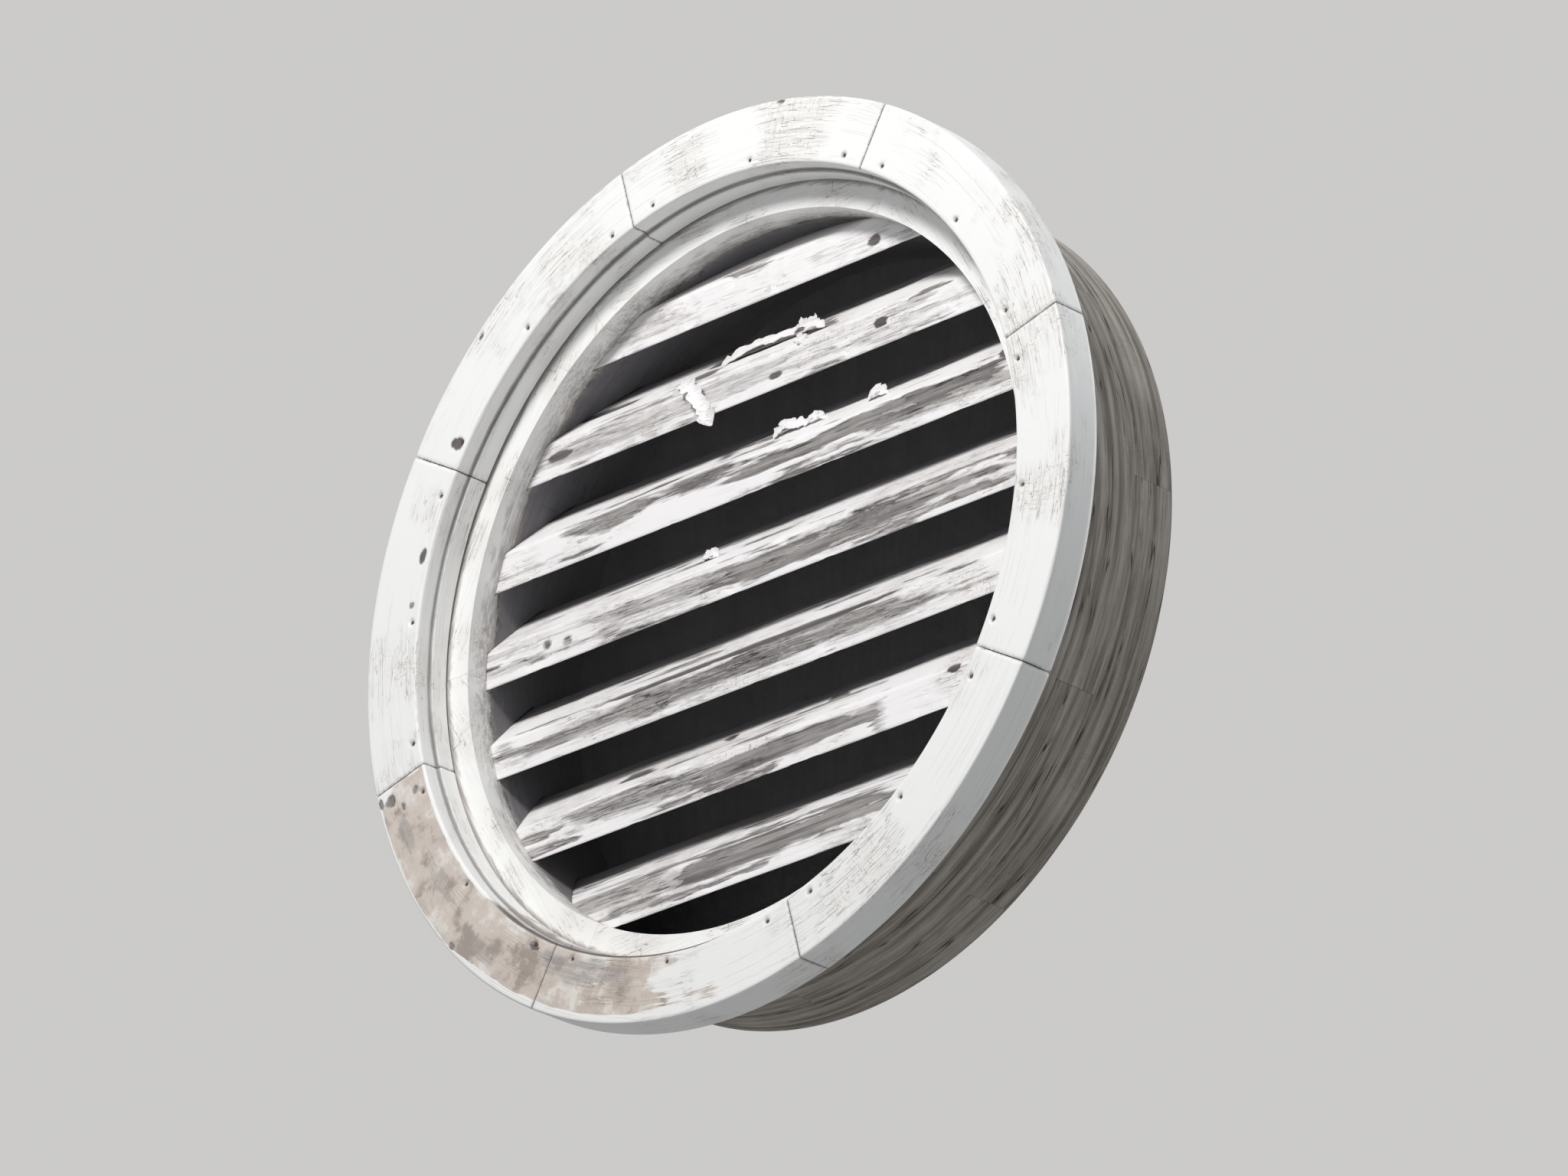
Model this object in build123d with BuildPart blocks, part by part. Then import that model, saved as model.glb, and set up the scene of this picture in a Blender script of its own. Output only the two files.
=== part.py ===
from build123d import *
import os
from math import copysign, cos, degrees, radians, sin

# A round louvred window: a built-up timber ring with slanted slats housed in
# it, a segmented casing on its front, and an insect screen held on its back.
# X is to the right, Y is into the wall and Z is up, all in millimetres.
# The origin is on the ring's axis, at the front edge of the ring.

# Frame ring
opening_radius = 267.0
ring_thickness = 38.0
layer_depth = 38.0
layer_names = ("front", "middle", "back")
ring_sectors = 6
glue_line = 0.2

# Casing on the front of the ring
casing_width = 50.0
casing_thickness = 30.0
casing_reveal = 23.0
casing_sectors = 8
casing_first_joint = 15.0
casing_joint = 0.6
casing_arris = 1.5
casing_step_height = 14.0
casing_step_width = 3.0

# Slats
slat_count = 8
slat_width = 89.0
slat_thickness = 21.0
slat_angle = 45.0
slat_setback = 19.0
slat_arris = 1.2
top_slat_drop = 55.0
bottom_slat_lap = 35.5
housing_depth = 10.0
housing_fit = 0.3

# Insect screen and its stop
screen_thickness = 1.0
screen_landing = 26.0
stop_width = 28.0
stop_overhang = 1.0
stop_thickness = 10.0
stop_sectors = 6
stop_joint = 0.4
stop_arris = 2.0

# Nails
casing_nail_radius = 1.5
casing_nail_head_radius = 2.6
casing_nail_head = 1.5
casing_nail_length = 56.0
casing_nail_set = 1.5
casing_nail_margin = 4.0
stop_nail_radius = 0.9
stop_nail_head_radius = 2.0
stop_nail_head = 0.8
stop_nail_length = 26.0
stop_nail_margin = 12.0
nail_fit = 0.05

# Sizes that follow from those above
ring_depth = layer_depth * len(layer_names)
ring_outer_radius = opening_radius + ring_thickness
ring_sweep = 360.0 / ring_sectors
casing_inner_radius = opening_radius + casing_reveal
casing_outer_radius = casing_inner_radius + casing_width
casing_sweep = 360.0 / casing_sectors
housing_radius = opening_radius + housing_depth
slat_end_radius = housing_radius - housing_fit
top_slat_height = opening_radius - top_slat_drop
slat_pitch = (top_slat_height + opening_radius + bottom_slat_lap) / (slat_count - 1)
slat_heights = [top_slat_height - slat_pitch * row for row in range(slat_count)]
screen_radius = opening_radius + screen_landing
stop_inner_radius = opening_radius + stop_overhang
stop_outer_radius = stop_inner_radius + stop_width
stop_back = ring_depth + screen_thickness + stop_thickness
stop_sweep = 360.0 / stop_sectors
casing_nail_circle = (casing_inner_radius + ring_outer_radius) / 2
stop_nail_circle = (stop_inner_radius + screen_radius) / 2
casing_nail_angles = (casing_nail_margin, casing_sweep / 2, casing_sweep - casing_nail_margin)
stop_nail_angles = (stop_nail_margin, stop_sweep - stop_nail_margin)

# The ring's axis points out of the wall, so angles run anticlockwise from the right
ring_axis = Axis((0, 0, 0), (0, -1, 0))
# The slats' section is drawn here, to the left of the ring, and runs to the right
side_plane = Plane.YZ.offset(-housing_radius)


def upright_plane(depth):
    """A plane that faces out of the wall, at a depth behind the ring's front edge."""
    return Plane.XZ.offset(-depth)


def radial_plane(angle):
    """A plane through the ring's axis: its x runs outwards, its y runs into the wall."""
    turn = radians(angle)
    outwards = (cos(turn), 0, sin(turn))
    around = (-sin(turn), 0, cos(turn))
    return Plane(origin=(0, 0, 0), x_dir=outwards, z_dir=around)


def half_joint(gap, inner, outer):
    """Half the angle that a joint of this width takes up at the middle of a ring."""
    return degrees(gap / (inner + outer))


def slat_corners(height, allowance):
    """The four corners of a slat across its length, grown on all sides by the allowance."""
    slope = radians(slat_angle)
    along = Vector(cos(slope), sin(slope))
    across = Vector(sin(slope), -cos(slope))
    lower_front = Vector(slat_setback, height) + across * allowance
    lower_back = lower_front + along * (slat_width + allowance)
    upper_back = lower_back - across * (slat_thickness + 2 * allowance)
    lower_front -= along * (allowance * (1 + sin(slope)) / cos(slope))
    upper_front = lower_front + Vector(0, (slat_thickness + 2 * allowance) / cos(slope))
    return lower_front, lower_back, upper_back, upper_front


def housing_edges(depth):
    """How far above a slat's height the lower and upper edge of its housing lie at this depth, if it gets there."""
    corners = slat_corners(0, housing_fit)
    edges = []
    for corner, following in zip(corners, corners[1:] + corners[:1]):
        if min(corner.X, following.X) < depth < max(corner.X, following.X):
            share = (depth - corner.X) / (following.X - corner.X)
            edges.append(corner.Y + share * (following.Y - corner.Y))
    return sorted(edges)


def leaves_splinter(angle, layer_edges):
    """Whether a housing's edge crosses a joint's inner end, which would split a splinter off the sector."""
    side = copysign(1, sin(radians(angle)))
    lift = abs(sin(radians(angle)))
    lowest = opening_radius * lift - glue_line
    highest = min(housing_radius * lift, opening_radius) + glue_line
    facing = [edges[0] if side > 0 else edges[1] for edges in layer_edges if edges]
    return any(lowest < side * (height + edge) < highest for height in slat_heights for edge in facing)


def clear_joint(angle, layer_edges):
    """The joint's own angle, or the nearest in steps of a degree, up first, that leaves no splinter."""
    upwards = copysign(1, cos(radians(angle)))
    turns = [0] + [upwards * turn * way for turn in range(1, 90) for way in (1, -1)]
    return next(angle + turn for turn in turns if not leaves_splinter(angle + turn, layer_edges))


def finish(builder, name):
    """Name a finished piece and write it to its own file."""
    builder.part.label = name
    export_step(builder.part, f"parts/{name}.step")


os.makedirs("parts", exist_ok=True)

# Nails through the casing into the ring, with their heads set below the face
with BuildPart() as casing_nails:
    for offset in casing_nail_angles:
        with Locations(upright_plane(casing_nail_set - casing_thickness)):
            with PolarLocations(casing_nail_circle, casing_sectors, casing_first_joint + offset):
                Cylinder(casing_nail_radius, casing_nail_length, align=(Align.CENTER, Align.CENTER, Align.MAX))
                Cylinder(casing_nail_head_radius, casing_nail_head, align=(Align.CENTER, Align.CENTER, Align.MAX))
finish(casing_nails, "casing_nails")

# The holes that those nails sit in, open at the casing's face
with BuildPart() as casing_nail_holes:
    for offset in casing_nail_angles:
        with Locations(upright_plane(-casing_thickness)):
            with PolarLocations(casing_nail_circle, casing_sectors, casing_first_joint + offset):
                Cylinder(
                    casing_nail_radius + nail_fit,
                    casing_nail_set + casing_nail_length + nail_fit,
                    align=(Align.CENTER, Align.CENTER, Align.MAX),
                )
                Cylinder(
                    casing_nail_head_radius + nail_fit,
                    casing_nail_set + casing_nail_head + nail_fit,
                    align=(Align.CENTER, Align.CENTER, Align.MAX),
                )

# Small nails through the screen's stop into the back of the ring
with BuildPart() as stop_nails:
    for offset in stop_nail_angles:
        with Locations(upright_plane(stop_back)):
            with PolarLocations(stop_nail_circle, stop_sectors, stop_sweep / 2 + offset):
                Cylinder(stop_nail_radius, stop_nail_length, align=(Align.CENTER, Align.CENTER, Align.MIN))
                Cylinder(stop_nail_head_radius, stop_nail_head, align=(Align.CENTER, Align.CENTER, Align.MIN))
finish(stop_nails, "stop_nails")

with BuildPart() as stop_nail_holes:
    for offset in stop_nail_angles:
        with Locations(upright_plane(stop_back)):
            with PolarLocations(stop_nail_circle, stop_sectors, stop_sweep / 2 + offset):
                Cylinder(
                    stop_nail_radius + nail_fit,
                    stop_nail_length + nail_fit,
                    align=(Align.CENTER, Align.CENTER, Align.MIN),
                )
                Cylinder(
                    stop_nail_head_radius + nail_fit,
                    stop_nail_head + nail_fit,
                    align=(Align.CENTER, Align.CENTER, Align.MIN),
                )

# The slanted housings that take the slats' ends, stopped short of the ring's outside
with BuildPart() as housings:
    for height in slat_heights:
        with BuildSketch(side_plane):
            with BuildLine():
                Polyline(*slat_corners(height, housing_fit), close=True)
            make_face()
        extrude(amount=2 * housing_radius)
    with BuildSketch(upright_plane(ring_depth)):
        Circle(housing_radius)
    extrude(amount=ring_depth, mode=Mode.INTERSECT)

# The ring: three layers of sawn sectors, glued with their joints staggered like brickwork
for layer, layer_name in enumerate(layer_names):
    layer_front = layer * layer_depth
    layer_back = layer_front + layer_depth - (glue_line if layer < len(layer_names) - 1 else 0)
    joint_angle = half_joint(glue_line, opening_radius, ring_outer_radius)
    first_joint = ring_sweep / 2 if layer % 2 else 0.0
    layer_edges = (housing_edges(layer_front), housing_edges(layer_back))
    joints = [clear_joint(first_joint + number * ring_sweep, layer_edges) for number in range(ring_sectors)]
    for number, (joint, following) in enumerate(zip(joints, joints[1:] + [joints[0] + 360])):
        with BuildPart() as sector:
            with BuildSketch(radial_plane(joint + joint_angle)):
                with BuildLine():
                    Polyline(
                        (opening_radius, layer_front),
                        (ring_outer_radius, layer_front),
                        (ring_outer_radius, layer_back),
                        (opening_radius, layer_back),
                        close=True,
                    )
                make_face()
            revolve(axis=ring_axis, revolution_arc=following - joint - 2 * joint_angle)
            add(housings.part, mode=Mode.SUBTRACT)
            if layer == 0:
                add(casing_nail_holes.part, mode=Mode.SUBTRACT)
            if layer == len(layer_names) - 1:
                add(stop_nail_holes.part, mode=Mode.SUBTRACT)
        finish(sector, f"ring_{layer_name}_{number + 1}")

# The casing: eight sawn sectors with a small step along the inner edge
for number in range(casing_sectors):
    joint_angle = half_joint(casing_joint, casing_inner_radius, casing_outer_radius)
    start = casing_first_joint + number * casing_sweep + joint_angle
    with BuildPart() as casing:
        with BuildSketch(radial_plane(start)) as casing_section:
            with BuildLine():
                Polyline(
                    (casing_outer_radius, 0),
                    (casing_outer_radius, -casing_thickness),
                    (casing_inner_radius, -casing_thickness),
                    (casing_inner_radius, casing_step_height - casing_thickness),
                    (casing_inner_radius - casing_step_width, casing_step_height - casing_thickness),
                    (casing_inner_radius - casing_step_width, 0),
                    close=True,
                )
            make_face()
            chamfer(casing_section.vertices().group_by(Axis.Y)[0], casing_arris)
        revolve(axis=ring_axis, revolution_arc=casing_sweep - 2 * joint_angle)
        add(casing_nail_holes.part, mode=Mode.SUBTRACT)
    finish(casing, f"casing_{number + 1}")

# The slats, cut to the ring's curve at their ends
for row, height in enumerate(slat_heights):
    with BuildPart() as slat:
        with BuildSketch(side_plane) as slat_section:
            with BuildLine():
                Polyline(*slat_corners(height, 0), close=True)
            make_face()
            fillet(slat_section.vertices(), slat_arris)
        extrude(amount=2 * housing_radius)
        with BuildSketch(upright_plane(ring_depth)):
            Circle(slat_end_radius)
        extrude(amount=ring_depth, mode=Mode.INTERSECT)
    finish(slat, f"slat_{row + 1}")

# The insect screen on the back of the ring
with BuildPart() as insect_screen:
    with BuildSketch(upright_plane(ring_depth + screen_thickness)):
        Circle(screen_radius)
    extrude(amount=screen_thickness)
    add(stop_nail_holes.part, mode=Mode.SUBTRACT)
finish(insect_screen, "insect_screen")

# The stop that holds the screen's rim
for number in range(stop_sectors):
    joint_angle = half_joint(stop_joint, stop_inner_radius, stop_outer_radius)
    start = stop_sweep / 2 + number * stop_sweep + joint_angle
    with BuildPart() as stop:
        with BuildSketch(radial_plane(start)) as stop_section:
            with BuildLine():
                Polyline(
                    (stop_inner_radius, stop_back - stop_thickness),
                    (stop_outer_radius, stop_back - stop_thickness),
                    (stop_outer_radius, stop_back),
                    (stop_inner_radius, stop_back),
                    close=True,
                )
            make_face()
            chamfer(stop_section.vertices().group_by(Axis.Y)[-1], stop_arris)
        revolve(axis=ring_axis, revolution_arc=stop_sweep - 2 * joint_angle)
        add(stop_nail_holes.part, mode=Mode.SUBTRACT)
    finish(stop, f"screen_stop_{number + 1}")
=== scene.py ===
from math import cos, pi, radians, sin

import bpy
import numpy as np
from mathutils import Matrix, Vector


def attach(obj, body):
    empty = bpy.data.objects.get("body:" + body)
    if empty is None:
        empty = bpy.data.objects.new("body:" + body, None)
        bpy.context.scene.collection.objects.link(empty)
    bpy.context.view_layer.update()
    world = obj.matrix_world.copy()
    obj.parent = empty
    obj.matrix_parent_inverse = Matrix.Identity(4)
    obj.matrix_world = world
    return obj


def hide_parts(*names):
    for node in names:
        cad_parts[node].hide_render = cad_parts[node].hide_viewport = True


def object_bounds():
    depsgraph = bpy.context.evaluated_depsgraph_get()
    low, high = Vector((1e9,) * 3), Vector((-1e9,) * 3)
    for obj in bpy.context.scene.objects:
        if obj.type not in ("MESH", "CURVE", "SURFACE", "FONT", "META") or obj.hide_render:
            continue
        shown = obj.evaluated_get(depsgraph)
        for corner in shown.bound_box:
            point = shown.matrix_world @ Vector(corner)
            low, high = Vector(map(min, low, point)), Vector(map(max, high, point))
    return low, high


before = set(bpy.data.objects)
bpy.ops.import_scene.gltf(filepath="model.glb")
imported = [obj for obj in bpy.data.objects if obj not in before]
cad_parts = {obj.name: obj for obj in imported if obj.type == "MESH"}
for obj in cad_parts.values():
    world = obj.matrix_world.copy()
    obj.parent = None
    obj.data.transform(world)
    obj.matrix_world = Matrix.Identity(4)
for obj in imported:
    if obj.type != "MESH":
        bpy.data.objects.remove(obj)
cad_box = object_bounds()

# Sizes in metres, as the frame has them, and angles in radians
MM = 0.001
OPENING_RADIUS = 267 * MM
SLAT_END_RADIUS = 276.7 * MM
SLAT_COUNT = 8
SLAT_WIDTH = 89 * MM
SLAT_THICKNESS = 21 * MM
SLAT_SLOPE = radians(45)
SLAT_SETBACK = 19 * MM
SLAT_PITCH = 73.5 * MM
TOP_SLAT = 212 * MM
CASING_COUNT = 8
CASING_SWEEP = radians(45)
CASING_FIRST_JOINT = radians(15)
CASING_JOINT = 0.6 * MM
CASING_INNER = 290 * MM
CASING_OUTER = 340 * MM
CASING_THICKNESS = 30 * MM
CASING_STEP_HEIGHT = 14 * MM
CASING_STEP_WIDTH = 3 * MM
CASING_NAIL_CIRCLE = 297.5 * MM
CASING_NAIL_MARGIN = radians(4)
RING_SECTORS = 6
RING_SWEEP = radians(60)
RING_OUTER = 305 * MM
SCREEN_FRONT = 114 * MM
SCREEN_THICKNESS = 1 * MM
SCREEN_RADIUS = 293 * MM
WIRE_SPACING = 1.6 * MM

# How far back on the slats' slopes the paint reaches and the painted shade begins, the paint's thickness,
# and its relief in the shading
PAINTED_DEPTH = 31 * MM
PAINT_THICKNESS = 0.45 * MM
PAINT_RELIEF = 0.35 * MM

# The dimple that the paint has over a nail's head
DIMPLE_RADIUS = 3.4 * MM
DIMPLE_DEPTH = 1.7 * MM

# How far a point behind the slats' front edges shows to the right and up, as shares of its depth
SEEN_RIGHT = 0.839
SEEN_UP = 0.462

# The radius at which the casing's grain is unrolled, and the middle of its face
GRAIN_RADIUS = 310 * MM
CASING_MIDDLE = 315 * MM

# Steps of the surfaces' grids
SLAT_STEPS = 300
CASING_STEPS = 150
FLAKE_STEPS = 26
FLAKE_COLUMNS = 7
SCREEN_RINGS = 60
SCREEN_SPOKES = 160

# The first seed of each kind of unevenness, to which a piece adds its number
SLAT_SEEDS = {"wobble": 40, "broad": 80, "streaks": 100, "grain": 120, "dents": 160, "patches": 180}
CASING_SEEDS = {"wobble": 200, "broad": 240, "grain": 280, "jagged": 320}
SCREEN_SEED = 300
FLAKE_SEED = 400

# Marks on each slat, seen square on: x, z, half width, half height in millimetres, then bareness and dirt
SLAT_MARKS = (
    ((-8, 241, 20, 2.2, 0.8, 0.7), (115, 224, 5, 3.0, 1.0, 0.7), (-100, 226, 40, 7, 0.3, 0.5)),
    # On the second slat the mark at 0, 179 is partly bare wood and partly a painted shadow under the lifted
    # strip of paint
    ((-146, 177, 28, 2.0, 1.0, 0.9), (-52, 174, 12, 2.0, 1.0, 0.9), (0, 179, 36, 3.0, 1.0, 1.0),
     (62, 176, 16, 3.0, 0.9, 0.8), (-195, 156, 8, 3.0, 1.0, 0.6), (18, 150, 6, 2.6, 1.0, 0.8),
     (120, 158, 5, 3.2, 1.0, 0.7), (166, 169, 17, 2.4, 0.7, 0.8), (-130, 153, 56, 7, 0.45, 0.6),
     (-10, 160, 66, 9, 0.35, 0.5)),
    ((-140, 90, 44, 6.5, 0.66, 0.8), (-55, 91, 28, 6.0, 0.66, 0.8), (42, 87, 64, 5.5, 0.95, 0.9),
     (176, 86, 64, 7.0, 0.85, 0.95), (237, 97, 5, 3.5, 1.0, 1.0), (130, 108, 70, 2.2, 0.7, 0.8),
     (-30, 107, 90, 1.8, 0.45, 0.7)),
    ((80, 7, 144, 8.0, 0.78, 0.85), (-110, 15, 60, 2.5, 0.5, 0.6), (-206, 9, 5, 4, 0.7, 0.7),
     (-186, 6, 6, 5, 0.6, 0.7)),
    ((-30, -52.5, 204, 1.8, 1.0, 0.9), (-35, -63, 206, 8.0, 0.66, 0.85), (112, -66, 56, 5, 0.5, 0.6)),
    ((-116, -117, 14, 2.4, 1.0, 1.0), (-26, -116, 8, 2.2, 1.0, 0.9), (78, -114, 9, 2.2, 0.9, 0.8),
     (-135, -134, 62, 7.5, 0.6, 0.7), (12, -139, 98, 8.0, 0.85, 0.9), (187, -128, 5, 3.0, 1.0, 0.8)),
    ((20, -206, 106, 10, 0.82, 0.9), (-140, -204, 62, 8, 0.55, 0.65), (-190, -208, 6, 2.0, 1.0, 1.0),
     (-164, -218, 8, 2.4, 1.0, 1.0), (-120, -216, 40, 4, 0.6, 0.6)),
    ((-74, -266, 16, 2.0, 0.9, 0.8), (30, -268, 60, 4, 0.4, 0.5)),
)

# How worn each slat is on the whole, from the top down
SLAT_WEAR = (0.5, 0.8, 1.05, 1.0, 1.0, 1.0, 1.0, 1.0)

# From how far to the right each slat's paint is nearly whole, in millimetres: 300 is past its front's end
SLAT_WHOLE_FROM = (300, 300, 300, 300, 176, 122, 300, 300)

# Loose curls of paint: first end, second end and lift as x, y, z, and then the width, in millimetres
FLAKES = (
    ((-82, 27, 178), (-37, 12.0, 126), (10, -9, 7), 15.0),
    ((-52, 37, 185), (32, 34, 186), (0, -2, 8), 11.0),
    ((24, 34, 187), (58, 28, 178), (4, -6, 8), 13.0),
    ((32, 27, 175), (47, 21, 167), (0, -5, 4), 9.0),
    ((0, 37, 112), (34, 37, 113), (0, -3, 9), 11.0),
    ((30, 37, 112), (54, 37, 111), (0, -3, 8), 8.0),
    ((92, 37, 112), (112, 36, 111), (0, -3, 9), 10.0),
    ((-66, 35, 37), (-50, 34, 36), (0, -2, 6), 8.0),
    ((-196, 18.6, -221), (-184, 17.5, -229), (0, -3, 1), 5.0),
    ((-176, 18.6, -226), (-164, 17.5, -233), (0, -3, 1), 4.5),
)

# The way that the curls' faces look
FLAKE_FACING = (0, -1, 0.4)

# Marks on the casing: angle and radius, half angle and half width (degrees, millimetres), bareness and dirt
CASING_MARKS = (
    (146.5, 302, 0.9, 6, 1.0, 0.9), (162.8, 297, 1.1, 2.8, 1.0, 0.9), (170, 300, 0.5, 3, 0.6, 0.7),
    (222, 336, 0.7, 2, 0.8, 0.8), (78, 338, 0.6, 2, 0.7, 0.7), (196.5, 337, 0.7, 2, 0.9, 0.9),
    (197, 328, 0.8, 4, 0.8, 0.9), (199, 317, 0.6, 2, 0.7, 0.8), (198, 303, 0.7, 3, 0.7, 0.8),
    (236, 299, 1.0, 3, 0.9, 0.9), (241, 303, 2.6, 2.5, 0.5, 0.8), (133, 334, 0.6, 2, 0.7, 0.7),
    (247, 306, 9.5, 11, 0.3, 0.6), (203, 322, 2.5, 6, 0.2, 0.6), (214, 312, 4.0, 7, 0.15, 0.5),
    (226, 325, 4.0, 6, 0.2, 0.6),
)

# The stretch of the casing whose top coat has gone down to a beige one, between these angles in degrees
STAIN_START = 196.0
STAIN_END = 280.0

# The low part of it, with more of the top coat left along the outer rim, and a bare inner arris with a
# painted shadow line
LOW_START = 221.0
LOW_END = 276.0


def random_cells(cells, seed):
    """A repeatable number from 0 to 1 for each whole-numbered cell: what is left of a large sine."""
    mixed = np.sin(cells @ np.array([127.1, 311.7, 74.7]) + seed * 17.13) * 43758.5453
    return mixed - np.floor(mixed)


def smooth_noise(points, seed):
    """Numbers at a grid's cells, blended smoothly over the eight cells round each point."""
    base = np.floor(points)
    part = points - base
    part = part * part * (3 - 2 * part)
    total = np.zeros(points.shape[:-1])
    for corner in np.ndindex(2, 2, 2):
        share = np.prod(np.where(corner, part, 1 - part), axis=-1)
        total += share * random_cells(base + np.array(corner), seed)
    return total


def rough_noise(points, seed, layers=4):
    """Layers of smooth noise, each twice as fine and half as strong as the one before, from 0 to 1."""
    strengths = 0.5 ** np.arange(layers)
    noise = [smooth_noise(points * 2.0 ** layer, seed + layer) for layer in range(layers)]
    return sum(strength * one for strength, one in zip(strengths, noise)) / strengths.sum()


def ramp(values, start, end):
    """A smooth rise from 0 at the start to 1 at the end, which may be the lower of the two."""
    share = np.clip((values - start) / (end - start), 0, 1)
    return share * share * (3 - 2 * share)


def mark_field(across, up, marks, wobble):
    """The bareness, dirt and painted shade of hollows that a list of marks leaves, with edges made ragged by
    the wobble.

    A long mark is a band with round corners and a short one an oval. A fully bare one also gets painted
    shade, as a hollow in the wood.
    """
    bare, dirt, hollow_shade = (np.zeros(across.shape) for _ in range(3))
    for x, z, half_x, half_z, bareness, dirtiness in marks:
        power = 4 if half_x > 10 else 2
        sideways = np.abs((across - x) / half_x) ** power
        upwards = np.abs((up - z) / half_z) ** power
        distance = (sideways + upwards) ** (1 / power)
        inside = 1 - ramp(distance + wobble, 0.7, 1.3)
        bare = np.maximum(bare, inside * bareness)
        dirt = np.maximum(dirt, inside * dirtiness)
        # A fully bare mark is also darkened with painted shade, as a hollow
        if bareness >= 1:
            hollow_shade = np.maximum(hollow_shade, inside * 0.75)
    return bare, dirt, hollow_shade


def traced(corners, spacings):
    """Points along a closed outline, each of its edges divided evenly by its own spacing."""
    points = []
    for corner, following, spacing in zip(corners, corners[1:] + corners[:1], spacings):
        corner, following = np.array(corner), np.array(following)
        steps = max(1, round(np.linalg.norm(following - corner) / spacing))
        points += [corner + (following - corner) * step / steps for step in range(steps)]
    return np.array(points)


def softened(outline, rounds):
    """A closed outline with its corners eased: each point moves halfway to its neighbours' middle."""
    for _ in range(rounds):
        middle = (np.roll(outline, 1, axis=0) + np.roll(outline, -1, axis=0)) / 2
        outline = (outline + middle) / 2
    return outline


def inward(outline):
    """The unit direction from each point of a closed outline into the area that it bounds."""
    along = np.roll(outline, -1, axis=0) - np.roll(outline, 1, axis=0)
    along /= np.maximum(np.linalg.norm(along, axis=1, keepdims=True), 1e-9)
    turned = np.stack([-along[:, 1], along[:, 0]], axis=1)
    following = np.roll(outline, -1, axis=0)
    area = np.sum(outline[:, 0] * following[:, 1] - following[:, 0] * outline[:, 1]) / 2
    return turned if area > 0 else -turned


def new_piece(name, points, faces, attributes, material):
    """A mesh object at the origin, with its faces turned outwards and its attributes on its points."""
    triangles = np.array(faces)
    corners = points[triangles]
    volume = np.sum(corners[:, 0] * np.cross(corners[:, 1], corners[:, 2]))
    if volume < 0:
        triangles = triangles[:, ::-1]
    mesh = bpy.data.meshes.new(name)
    mesh.vertices.add(len(points))
    mesh.vertices.foreach_set("co", points.ravel())
    mesh.loops.add(triangles.size)
    mesh.loops.foreach_set("vertex_index", triangles.ravel())
    mesh.polygons.add(len(triangles))
    mesh.polygons.foreach_set("loop_start", np.arange(len(triangles)) * 3)
    mesh.update(calc_edges=True)
    mesh.polygons.foreach_set("use_smooth", np.ones(len(triangles), dtype=bool))
    mesh.set_sharp_from_angle(angle=radians(50))
    for key, values in attributes.items():
        mesh.attributes.new(key, "FLOAT", "POINT").data.foreach_set("value", values.ravel())
    mesh.materials.append(material)
    mesh.validate()
    piece = bpy.data.objects.new(name, mesh)
    bpy.context.scene.collection.objects.link(piece)
    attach(piece, "root")
    return piece


def swept_piece(name, rings, fields, material):
    """A closed skin over a row of closed outlines, with a point in the middle of each end."""
    stations, around = rings.shape[:2]
    index = np.arange(stations * around).reshape(stations, around)
    here, there = index[:-1], index[1:]
    here_next, there_next = np.roll(here, -1, axis=1), np.roll(there, -1, axis=1)
    sides = np.concatenate([
        np.stack([here, there, there_next], axis=-1).reshape(-1, 3),
        np.stack([here, there_next, here_next], axis=-1).reshape(-1, 3),
    ])
    first, last = stations * around, stations * around + 1
    start = np.stack([np.full(around, first), index[0], np.roll(index[0], -1)], axis=-1)
    end = np.stack([np.full(around, last), np.roll(index[-1], -1), index[-1]], axis=-1)
    points = np.concatenate([rings.reshape(-1, 3), [rings[0].mean(axis=0)], [rings[-1].mean(axis=0)]])
    values = {}
    for key, field in fields.items():
        values[key] = np.append(field.ravel(), [field[0].mean(), field[-1].mean()])
    return new_piece(name, points, np.concatenate([sides, start, end]), values, material)


def new_group(name, inputs, outputs):
    """An empty shader node group with these sockets, given as (name, kind, value)."""
    group = bpy.data.node_groups.new(name, "ShaderNodeTree")
    for label, kind, value in inputs:
        socket = group.interface.new_socket(label, in_out="INPUT", socket_type=kind)
        if value is not None:
            socket.default_value = value
    for label, kind in outputs:
        group.interface.new_socket(label, in_out="OUTPUT", socket_type=kind)
    return group


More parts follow.
